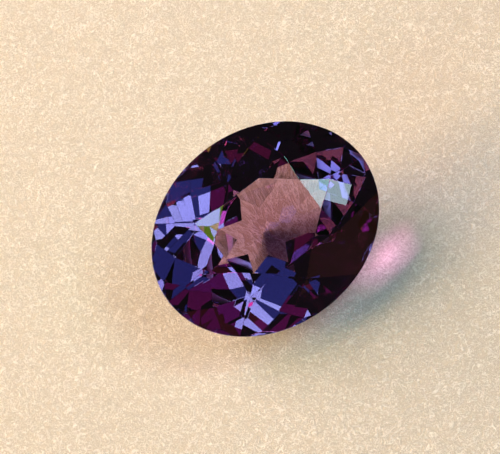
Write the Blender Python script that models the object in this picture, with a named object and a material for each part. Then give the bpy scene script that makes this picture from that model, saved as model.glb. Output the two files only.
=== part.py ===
"""A loose alexandrite gemstone in an oval cut, in metres, +Z up.

The stone is cut as a round one and then stretched along its length, so every facet stays flat. It lies on one
of the facets round its culet, with its table facing up and forwards, towards -Y. Its length runs along X. The
origin is below the middle of the stone, on the surface that it lies on.
"""

from math import cos, radians, sin, tan

import bmesh
import bpy
from mathutils import Matrix, Vector

# Outline seen from above the table, and the thin band round its edge
LENGTH = 0.0165
WIDTH = 0.0135
GIRDLE_THICKNESS = 0.0005
GIRDLE_SIDES = 96

# Facets are repeated round the stone in eighths and sixteenths
FULL_TURN = radians(360)
EIGHTH = FULL_TURN / 8
SIXTEENTH = EIGHTH / 2
THIRTY_SECOND = SIXTEENTH / 2

# Crown. Shares are of the girdle's radius, measured from the stone's axis before it is stretched
CROWN_ANGLE = radians(26.9)
TABLE_SHARE = 0.47
STAR_SHARE = 0.65
CROWN_TURN = SIXTEENTH

# Pavilion, in five rows from the girdle down to the culet. The tip is a culet facet's outer end
UPPER_BREAK_ANGLE = radians(57.5)
LOWER_BREAK_ANGLE = radians(46.3)
UPPER_MIDDLE_ANGLE = radians(41.6)
LOWER_MIDDLE_ANGLE = radians(36.5)
CULET_ANGLE = radians(28.5)
CULET_TIP_SHARE = 0.40

# The culet facet that the stone lies on faces -Y before the stone is tipped over onto it
RESTING_AZIMUTH = radians(-90)

# Blank that the stone is cut from, and how far apart cuts may be that meet in one point
BLANK_HEIGHT = 0.04
CUT_TOLERANCE = 1e-8
MEET_DISTANCE = 5e-6

RADIUS = WIDTH / 2
GIRDLE_TOP = GIRDLE_THICKNESS / 2
STRETCH = LENGTH / WIDTH
UP = Vector((0, 0, 1))
DOWN = Vector((0, 0, -1))


def polar(share, azimuth, height):
    """A point at a share of the girdle's radius from the stone's axis."""
    return Vector((share * RADIUS * cos(azimuth), share * RADIUS * sin(azimuth), height))


def tilted_facet(angle, azimuth, point, side):
    """The plane of a facet that makes an angle with the girdle, as the point on it and its outward normal."""
    normal = Vector((sin(angle) * cos(azimuth), sin(angle) * sin(azimuth), cos(angle) * side.z))
    return point, normal


def facet_through(first, second, third):
    """The plane of a crown facet through three points, as the point on it and its outward normal."""
    normal = (second - first).cross(third - first).normalized()
    return first, normal if normal.z > 0 else -normal


def crown_facets():
    """The table, and round it the stars, the mains and the pairs of breaks above the girdle."""
    slope = tan(CROWN_ANGLE)
    table_height = GIRDLE_TOP + (1 - TABLE_SHARE) * RADIUS * slope
    star_height = GIRDLE_TOP + (1 - STAR_SHARE * cos(SIXTEENTH)) * RADIUS * slope
    facets = [(Vector((0, 0, table_height)), UP)]
    for eighth in range(8):
        azimuth = eighth * EIGHTH + CROWN_TURN
        girdle_point = polar(1, azimuth, GIRDLE_TOP)
        next_girdle_point = polar(1, azimuth + EIGHTH, GIRDLE_TOP)
        between = polar(1, azimuth + SIXTEENTH, GIRDLE_TOP)
        star_point = polar(STAR_SHARE, azimuth + SIXTEENTH, star_height)
        corner = polar(TABLE_SHARE, azimuth, table_height)
        next_corner = polar(TABLE_SHARE, azimuth + EIGHTH, table_height)
        facets.append(tilted_facet(CROWN_ANGLE, azimuth, girdle_point, UP))
        facets.append(facet_through(corner, next_corner, star_point))
        facets.append(facet_through(star_point, girdle_point, between))
        facets.append(facet_through(star_point, next_girdle_point, between))
    return facets


def next_row(slope, depth, lower_slope, lower_depth, third_slope):
    """How deep the planes of a third row cross the axis, when they start at the tips of the first row.

    The facets of the row in between stand a thirty-second of a turn to either side of a tip.
    """
    tip_share = (depth - lower_depth) / (slope - cos(THIRTY_SECOND) * lower_slope)
    return depth + tip_share * (third_slope - slope)


def pavilion_facets():
    """Five rows of facets from the girdle to the culet.

    The planes of a row all cross the stone's axis in one point. The depth of that point below the girdle is
    worked out row by row, in shares of the radius.
    """
    upper_break = tan(UPPER_BREAK_ANGLE)
    lower_break = tan(LOWER_BREAK_ANGLE)
    upper_middle = tan(UPPER_MIDDLE_ANGLE)
    lower_middle = tan(LOWER_MIDDLE_ANGLE)
    culet = tan(CULET_ANGLE)
    upper_break_depth = upper_break
    lower_break_depth = lower_break + (1 - cos(THIRTY_SECOND)) * upper_break
    upper_middle_depth = next_row(upper_break, upper_break_depth, lower_break, lower_break_depth, upper_middle)
    lower_middle_depth = next_row(lower_break, lower_break_depth, upper_middle, upper_middle_depth, lower_middle)
    culet_depth = lower_middle_depth + CULET_TIP_SHARE * (culet - cos(SIXTEENTH) * lower_middle)
    rows = (
        (UPPER_BREAK_ANGLE, upper_break_depth, 16, THIRTY_SECOND),
        (LOWER_BREAK_ANGLE, lower_break_depth, 16, 0),
        (UPPER_MIDDLE_ANGLE, upper_middle_depth, 16, THIRTY_SECOND),
        (LOWER_MIDDLE_ANGLE, lower_middle_depth, 8, SIXTEENTH),
        (CULET_ANGLE, culet_depth, 8, 0),
    )
    facets = []
    for angle, depth, count, start in rows:
        crossing = DOWN * (GIRDLE_TOP + depth * RADIUS)
        for step in range(count):
            facets.append(tilted_facet(angle, start + step * FULL_TURN / count, crossing, DOWN))
    return facets


def cut_facet(stone, point, normal):
    """Takes off what lies outside a facet's plane and closes the stone with the facet."""
    geometry = stone.verts[:] + stone.edges[:] + stone.faces[:]
    cut = bmesh.ops.bisect_plane(
        stone, geom=geometry, dist=CUT_TOLERANCE, plane_co=point, plane_no=normal, clear_outer=True
    )
    rim = [part for part in cut["geom_cut"] if isinstance(part, bmesh.types.BMEdge)]
    bmesh.ops.contextual_create(stone, geom=rim)


def cut_stone():
    """The whole stone, its girdle level and its axis upright."""
    stone = bmesh.new()
    bmesh.ops.create_cone(
        stone, cap_ends=True, segments=GIRDLE_SIDES, radius1=RADIUS, radius2=RADIUS, depth=BLANK_HEIGHT
    )
    for point, normal in crown_facets() + pavilion_facets():
        cut_facet(stone, point, normal)
    bmesh.ops.remove_doubles(stone, verts=stone.verts, dist=MEET_DISTANCE)
    bmesh.ops.scale(stone, vec=(STRETCH, 1, 1), verts=stone.verts)
    bmesh.ops.recalc_face_normals(stone, faces=stone.faces)
    return stone


def lay_down(stone):
    """Tips the stone onto its resting facet, and puts the origin below the middle of its box."""
    facing = Vector((sin(CULET_ANGLE) * cos(RESTING_AZIMUTH) / STRETCH,
                     sin(CULET_ANGLE) * sin(RESTING_AZIMUTH),
                     -cos(CULET_ANGLE)))
    stone.transform(facing.rotation_difference(DOWN).to_matrix().to_4x4())
    corners = [corner.co for corner in stone.verts]
    low = Vector(min(corner[axis] for corner in corners) for axis in range(3))
    high = Vector(max(corner[axis] for corner in corners) for axis in range(3))
    middle = (low + high) / 2
    stone.transform(Matrix.Translation((-middle.x, -middle.y, -low.z)))


def alexandrite_material():
    """Clear blue-violet stone."""
    material = bpy.data.materials.new("alexandrite")
    material.use_nodes = True
    shader = material.node_tree.nodes["Principled BSDF"]
    shader.inputs["Base Color"].default_value = (0.30, 0.16, 0.55, 1)
    shader.inputs["Metallic"].default_value = 0.0
    shader.inputs["Roughness"].default_value = 0.02
    shader.inputs["IOR"].default_value = 1.75
    shader.inputs["Transmission Weight"].default_value = 1.0
    return material


def build():
    for old in list(bpy.data.objects):
        bpy.data.objects.remove(old)
    stone = cut_stone()
    lay_down(stone)
    mesh = bpy.data.meshes.new("alexandrite")
    stone.to_mesh(mesh)
    stone.free()
    mesh.materials.append(alexandrite_material())
    gem = bpy.data.objects.new("alexandrite", mesh)
    bpy.context.scene.collection.objects.link(gem)


build()
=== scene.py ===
"""A loose oval alexandrite, lying on a pale floor in soft studio light. Metres, +Z up."""

from math import cos, pi, radians, sin

import bmesh
import bpy
from mathutils import Matrix, Vector


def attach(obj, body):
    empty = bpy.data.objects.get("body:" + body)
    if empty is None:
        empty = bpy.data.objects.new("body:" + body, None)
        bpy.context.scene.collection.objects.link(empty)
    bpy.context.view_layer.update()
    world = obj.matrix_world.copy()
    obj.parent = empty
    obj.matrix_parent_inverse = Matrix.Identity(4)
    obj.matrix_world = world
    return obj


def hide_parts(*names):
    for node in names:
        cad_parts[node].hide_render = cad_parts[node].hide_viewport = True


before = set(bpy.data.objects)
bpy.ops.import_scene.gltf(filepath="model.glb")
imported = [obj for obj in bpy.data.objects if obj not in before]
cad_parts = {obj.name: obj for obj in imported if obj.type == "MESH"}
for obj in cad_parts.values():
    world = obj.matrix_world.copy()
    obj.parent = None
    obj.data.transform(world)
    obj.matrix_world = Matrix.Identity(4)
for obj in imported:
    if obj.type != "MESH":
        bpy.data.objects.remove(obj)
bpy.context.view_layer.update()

# The stone's fine shape
WELD = 1e-6
FLAT = radians(0.5)
FACET_EDGE = 0.000012
GIRDLE_LEAN = 0.1

# Looks of the stone. The absorption is per metre of path
REFRACTION = 1.755
ABSORPTION_COLOUR = (0.486, 0.108, 0.486, 1)
ABSORPTION = 180.0
GIRDLE_ROUGHNESS = 0.32
GRINDING_SCALE = 6000.0
GRINDING_DETAIL = 3.0
GRINDING_HEIGHT = 0.000004

# Floor, with a short nap of fine hairs in two layers, each turned its own way
FLOOR_SIZE = 1.0
FLOOR_GAP = 0.00001
FLOOR_COLOUR = (0.68, 0.60, 0.46, 1)
FLOOR_ROUGHNESS = 0.75
HAIR_COLOUR = (1.0, 0.94, 0.80, 1)
HAIR_SCALES = (1400.0, 1820.0)
HAIR_TURNS = (0.0, 1.1)
HAIR_DETAIL = 2.0
HAIR_UNEVENNESS = 0.55
HAIR_CURL = 2.5
HAIR_WIDTH = 0.05
HAIR_HEIGHT = 0.000025

# Under the stone the nap is pressed down, so its hairs look longer. The ground between them is painted darker
# there, as painted shade under the stone
PAINTED_SHADE_COLOUR = (0.58, 0.48, 0.34, 1)
PRESSED_AND_SHADED_MIDDLE = (0, 0.001, 0)
PRESSED_AND_SHADED_RADIUS = 0.0060
FULLY_PRESSED_AND_SHADED_RADIUS = PRESSED_AND_SHADED_RADIUS * 0.4
PRESSED_SCALE = 1600.0
PRESSED_TURNS = (0.2, 1.3)
PRESSED_STRETCH = 0.3

# Camera: where it stands, seen from the point that it looks at
CAMERA_AZIMUTH = radians(-12.1)
CAMERA_ELEVATION = radians(59.0)
CAMERA_ROLL = radians(26.5)
CAMERA_DISTANCE = 0.16952
CAMERA_AIM = Vector((-0.00077, 0.00063, 0.00525))
CAMERA_LENS = 180
NEAREST_SEEN = 0.001
FARTHEST_SEEN = 10

# How often light may go from facet to facet before it leaves the stone
FACET_BOUNCES = 40

# Soft lights stand round the stone's middle and face it. Each is given by its azimuth, elevation, width, height
# and brightness in red, green and blue
STONE_MIDDLE = Vector((0, 0, 0.004))
LIGHT_DISTANCE = 0.5
COOL_WINDOW = (59, 48.5, 0.37, 0.14, (1.6, 5.0, 4.4))
STAR_PANE = (58.8, 46.3, 0.012, 0.016, (1.2, 0.1, 1.2))
KITE_PANE = (54.99, 22.93, 0.0081, 0.0092, (3.4, 4.5, 5.2))
ROOF_PANE = (-85, 76.3, 0.03, 0.03, (1.1, 1.8, 0.1))
MAGENTA_LAMP = (56, 34.7, 0.05, 0.16, (4.0, 0.5, 1.8))
WARM_WINDOW = (-157, 28, 0.36, 0.48, (7.2, 4.6, 2.5))
BLUE_SKY = (-160, 36, 0.18, 0.27, (0.8, 2.0, 5.6))
LOW_LAMP = (-78, 20, 0.12, 0.24, (1.6, 5.0, 6.0))
CRIMSON_BAND = (8, 42, 0.18, 0.105, (0.28, 0.015, 0.19))
CRIMSON_ROOF = (-48, 62, 0.06, 0.10, (0.22, 0.01, 0.09))
COOL_SIDE = (96, 56.5, 0.14, 0.075, (1.6, 5.0, 4.4))
SIDE_FILL = (58, 33, 0.39, 0.15, (0.30, 0.03, 0.30))
HIGH_FILL = (55, 68, 0.26, 0.26, (0.07, 0.27, 0.62))
FRONT_WALL = (22, 14, 0.55, 0.22, (0.12, 0.03, 0.015))
ROOM_COLOUR = (1.0, 1.3, 1.0, 1)
ROOM_STRENGTH = 0.02

# The floor has lights of its own, which the stone doesn't mirror, and a glow of light that leaves the stone
FLOOR_KEY = (-116, 23, 0.20, 0.20, (19.2, 14.0, 7.5))
FLOOR_FILL = (60, 50, 0.30, 0.20, (2.0, 0.25, 1.3))
GLOW_PLACE = Vector((0.0058, -0.0047, 0))
GLOW_AZIMUTH = radians(100)
GLOW_ELEVATION = radians(35)
GLOW_DISTANCE = 0.05
GLOW_SPREAD = radians(3.4)
GLOW_SOURCE_RADIUS = 0.001
GLOW_POWER = 0.22
GLOW_COLOUR = (1.0, 0.42, 0.85)


def seen_from(azimuth, elevation):
    """The unit direction in which something stands. Azimuth 0 is towards -Y, and 90 degrees towards +X."""
    return Vector((sin(azimuth) * cos(elevation), -cos(azimuth) * cos(elevation), sin(elevation)))


def add_object(name, data):
    piece = bpy.data.objects.new(name, data)
    bpy.context.scene.collection.objects.link(piece)
    return piece


def new_material(name):
    material = bpy.data.materials.new(name)
    material.use_nodes = True
    return material, material.node_tree, material.node_tree.nodes["Principled BSDF"]


def add_node(tree, kind, **inputs):
    node = tree.nodes.new(kind)
    for name, value in inputs.items():
        node.inputs[name.replace("_", " ")].default_value = value
    return node


def add_math(tree, operation, *values):
    """The result of a Math node. A value is another node's output or a number."""
    node = tree.nodes.new("ShaderNodeMath")
    node.operation = operation
    for socket, value in zip(node.inputs, values):
        if isinstance(value, bpy.types.NodeSocket):
            tree.links.new(value, socket)
        else:
            socket.default_value = value
    return node.outputs["Value"]


def alexandrite_material():
    """Polished clear stone that takes most of the green and some of the red from what passes through it."""
    material, tree, shader = new_material("polished_alexandrite")
    shader.inputs["Base Color"].default_value = (1, 1, 1, 1)
    shader.inputs["IOR"].default_value = REFRACTION
    shader.inputs["Transmission Weight"].default_value = 1.0
    place = tree.nodes.new("ShaderNodeTexCoord")

    girdle = tree.nodes.new("ShaderNodeAttribute")
    girdle.attribute_name = "girdle"
    rough = tree.nodes.new("ShaderNodeMapRange")
    rough.inputs["To Min"].default_value = 0.0
    rough.inputs["To Max"].default_value = GIRDLE_ROUGHNESS
    tree.links.new(girdle.outputs["Fac"], rough.inputs["Value"])
    tree.links.new(rough.outputs["Result"], shader.inputs["Roughness"])

    grain = add_node(tree, "ShaderNodeTexNoise", Scale=GRINDING_SCALE, Detail=GRINDING_DETAIL)
    tree.links.new(place.outputs["Object"], grain.inputs["Vector"])
    ground = add_math(tree, "MULTIPLY", grain.outputs["Fac"], girdle.outputs["Fac"])
    bump = add_node(tree, "ShaderNodeBump", Strength=1.0, Distance=GRINDING_HEIGHT)
    tree.links.new(ground, bump.inputs["Height"])
    tree.links.new(bump.outputs["Normal"], shader.inputs["Normal"])

    absorption = add_node(tree, "ShaderNodeVolumeAbsorption", Color=ABSORPTION_COLOUR, Density=ABSORPTION)
    tree.links.new(absorption.outputs["Volume"], tree.nodes["Material Output"].inputs["Volume"])
    return material


def build_stone():
    """The stone, with each facet as one flat face, slightly worn edges, and a smooth band for the girdle."""
    shape = bmesh.new()
    shape.from_mesh(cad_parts["alexandrite"].data)
    bmesh.ops.remove_doubles(shape, verts=shape.verts, dist=WELD)
    bmesh.ops.dissolve_limit(shape, angle_limit=FLAT, verts=shape.verts, edges=shape.edges)
    shape.normal_update()
    axis = max(shape.faces, key=lambda face: face.calc_area()).normal.copy()
    girdle = shape.faces.layers.float.new("girdle")
    for face in shape.faces:
        face.smooth = abs(face.normal.dot(axis)) < GIRDLE_LEAN
        face[girdle] = float(face.smooth)
    facet_edges = [edge for edge in shape.edges if not all(face.smooth for face in edge.link_faces)]
    bmesh.ops.bevel(
        shape, geom=facet_edges, offset=FACET_EDGE, affect="EDGES", segments=1, profile=0.5, material=-1
    )
    mesh = bpy.data.meshes.new("stone")
    shape.to_mesh(mesh)
    shape.free()
    mesh.materials.append(alexandrite_material())
    stone = add_object("cut_stone", mesh)
    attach(stone, "root")
    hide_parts("alexandrite")


def fine_hairs(tree, place, scale, turn, stretch=1.0):
    """Thin curved lines, where a noise crosses its middle value. They are the hairs of a short soft nap."""
    turned = tree.nodes.new("ShaderNodeMapping")
    turned.inputs["Rotation"].default_value = (0, 0, turn)
    turned.inputs["Scale"].default_value = (1, stretch, 1)
    tree.links.new(place.outputs["Object"], turned.inputs["Vector"])
    noise = add_node(tree, "ShaderNodeTexNoise", Scale=scale, Detail=HAIR_DETAIL)
    noise.inputs["Roughness"].default_value = HAIR_UNEVENNESS
    noise.inputs["Distortion"].default_value = HAIR_CURL
    tree.links.new(turned.outputs["Vector"], noise.inputs["Vector"])
    from_middle = add_math(tree, "ABSOLUTE", add_math(tree, "SUBTRACT", noise.outputs["Fac"], 0.5))
    line = add_node(tree, "ShaderNodeMapRange", From_Min=0.0, From_Max=HAIR_WIDTH, To_Min=1.0, To_Max=0.0)
    tree.links.new(from_middle, line.inputs["Value"])
    return line.outputs["Result"]


def floor_material():
    """Pale cloth-like ground with a faint nap, pressed down in the middle, and painted shade that darkens the
    ground under the stone.
    """
    material, tree, shader = new_material("pale_floor")
    shader.inputs["Roughness"].default_value = FLOOR_ROUGHNESS
    place = tree.nodes.new("ShaderNodeTexCoord")
    layers = [fine_hairs(tree, place, scale, turn) for scale, turn in zip(HAIR_SCALES, HAIR_TURNS)]
    nap = add_math(tree, "MAXIMUM", *layers)
    strands = [fine_hairs(tree, place, PRESSED_SCALE, turn, PRESSED_STRETCH) for turn in PRESSED_TURNS]
    pressed_nap = add_math(tree, "MAXIMUM", *strands)

    away = tree.nodes.new("ShaderNodeVectorMath")
    away.operation = "DISTANCE"
    away.inputs[1].default_value = PRESSED_AND_SHADED_MIDDLE
    tree.links.new(place.outputs["Object"], away.inputs[0])
    # One mask, largest under the stone, makes the hairs longer and paints shade there
    pressed_and_shaded = add_node(tree, "ShaderNodeMapRange", From_Min=PRESSED_AND_SHADED_RADIUS, From_Max=FULLY_PRESSED_AND_SHADED_RADIUS)
    tree.links.new(away.outputs["Value"], pressed_and_shaded.inputs["Value"])
    # Painted shade: under the stone the ground takes a darker colour
    ground = tree.nodes.new("ShaderNodeMix")
    ground.data_type = "RGBA"
    ground.inputs["A"].default_value = FLOOR_COLOUR
    ground.inputs["B"].default_value = PAINTED_SHADE_COLOUR
    tree.links.new(pressed_and_shaded.outputs["Result"], ground.inputs["Factor"])
    hairs = tree.nodes.new("ShaderNodeMix")
    tree.links.new(pressed_and_shaded.outputs["Result"], hairs.inputs["Factor"])
    tree.links.new(nap, hairs.inputs["A"])
    tree.links.new(pressed_nap, hairs.inputs["B"])

    tint = tree.nodes.new("ShaderNodeMix")
    tint.data_type = "RGBA"
    tint.inputs["B"].default_value = HAIR_COLOUR
    tree.links.new(ground.outputs["Result"], tint.inputs["A"])
    tree.links.new(hairs.outputs["Result"], tint.inputs["Factor"])
    tree.links.new(tint.outputs["Result"], shader.inputs["Base Color"])
    bump = add_node(tree, "ShaderNodeBump", Strength=1.0, Distance=HAIR_HEIGHT)
    tree.links.new(hairs.outputs["Result"], bump.inputs["Height"])
    tree.links.new(bump.outputs["Normal"], shader.inputs["Normal"])
    return material


def build_floor():
    """A plain pale floor."""
    shape = bmesh.new()
    bmesh.ops.create_grid(shape, x_segments=1, y_segments=1, size=FLOOR_SIZE)
    bmesh.ops.translate(shape, vec=(0, 0, -FLOOR_GAP), verts=shape.verts)
    mesh = bpy.data.meshes.new("floor")
    shape.to_mesh(mesh)
    shape.free()
    mesh.materials.append(floor_material())
    add_object("floor", mesh)


def stand_at(lamp, centre, direction, distance):
    """Puts a lamp in a direction from a point, and turns it to face that point."""
    lamp.location = centre + direction * distance
    lamp.rotation_euler = direction.to_track_quat("Z", "Y").to_euler()


def hide_from_stone(lamp):
    """The lamp still lights the floor, but the stone doesn't mirror it or show it through itself."""
    lamp.visible_glossy = False
    lamp.visible_transmission = False


def add_light(name, azimuth, elevation, width, height, brightness):
    light = bpy.data.lights.new(name, "AREA")
    light.shape = "RECTANGLE"
    light.size = width
    light.size_y = height
    light.energy = pi * width * height * max(brightness)
    light.color = [channel / max(brightness) for channel in brightness]
    lamp = add_object(name, light)
    stand_at(lamp, STONE_MIDDLE, seen_from(radians(azimuth), radians(elevation)), LIGHT_DISTANCE)
    return lamp


def add_glow():
    """The pink light that the stone throws on the floor beside it."""
    light = bpy.data.lights.new("pink_glow", "SPOT")
    light.energy = GLOW_POWER
    light.color = GLOW_COLOUR
    light.spot_size = GLOW_SPREAD
    light.spot_blend = 1.0
    light.shadow_soft_size = GLOW_SOURCE_RADIUS
    lamp = add_object("pink_glow", light)
    stand_at(lamp, GLOW_PLACE, seen_from(GLOW_AZIMUTH, GLOW_ELEVATION), GLOW_DISTANCE)
    hide_from_stone(lamp)


def build_lights():
    add_light("cool_window", *COOL_WINDOW)
    add_light("star_pane", *STAR_PANE)
    add_light("kite_pane", *KITE_PANE)
    add_light("roof_pane", *ROOF_PANE)
    add_light("magenta_lamp", *MAGENTA_LAMP)
    add_light("warm_window", *WARM_WINDOW)
    add_light("blue_sky", *BLUE_SKY)
    add_light("low_lamp", *LOW_LAMP)
    add_light("crimson_band", *CRIMSON_BAND)
    add_light("crimson_roof", *CRIMSON_ROOF)
    add_light("cool_side", *COOL_SIDE)
    add_light("side_fill", *SIDE_FILL)
    add_light("high_fill", *HIGH_FILL)
    add_light("front_wall", *FRONT_WALL)
    hide_from_stone(add_light("floor_key", *FLOOR_KEY))
    hide_from_stone(add_light("floor_fill", *FLOOR_FILL))
    add_glow()
    room = bpy.data.worlds.new("room")
    room.use_nodes = True
    background = room.node_tree.nodes["Background"]
    background.inputs["Color"].default_value = ROOM_COLOUR
    background.inputs["Strength"].default_value = ROOM_STRENGTH
    bpy.context.scene.world = room


def build_camera():
    camera = bpy.data.cameras.new("camera")
    camera.lens = CAMERA_LENS
    camera.clip_start = NEAREST_SEEN
    camera.clip_end = FARTHEST_SEEN
    backwards = seen_from(CAMERA_AZIMUTH, CAMERA_ELEVATION)
    level = Vector((cos(CAMERA_AZIMUTH), sin(CAMERA_AZIMUTH), 0))
    upright = backwards.cross(level)
    right = level * cos(CAMERA_ROLL) - upright * sin(CAMERA_ROLL)
    above = level * sin(CAMERA_ROLL) + upright * cos(CAMERA_ROLL)
    stand = add_object("camera", camera)
    stand.matrix_world = Matrix.Translation(CAMERA_AIM + backwards * CAMERA_DISTANCE) @ Matrix(
        (right, above, backwards)
    ).transposed().to_4x4()
    bpy.context.scene.camera = stand


def set_light_paths():
    """Light goes back and forth between many facets before it leaves the stone."""
    cycles = bpy.context.scene.cycles
    cycles.max_bounces = FACET_BOUNCES
    cycles.glossy_bounces = FACET_BOUNCES
    cycles.transmission_bounces = FACET_BOUNCES
    bpy.context.scene.view_settings.view_transform = "Standard"


build_camera()
build_stone()
build_floor()
build_lights()
set_light_paths()
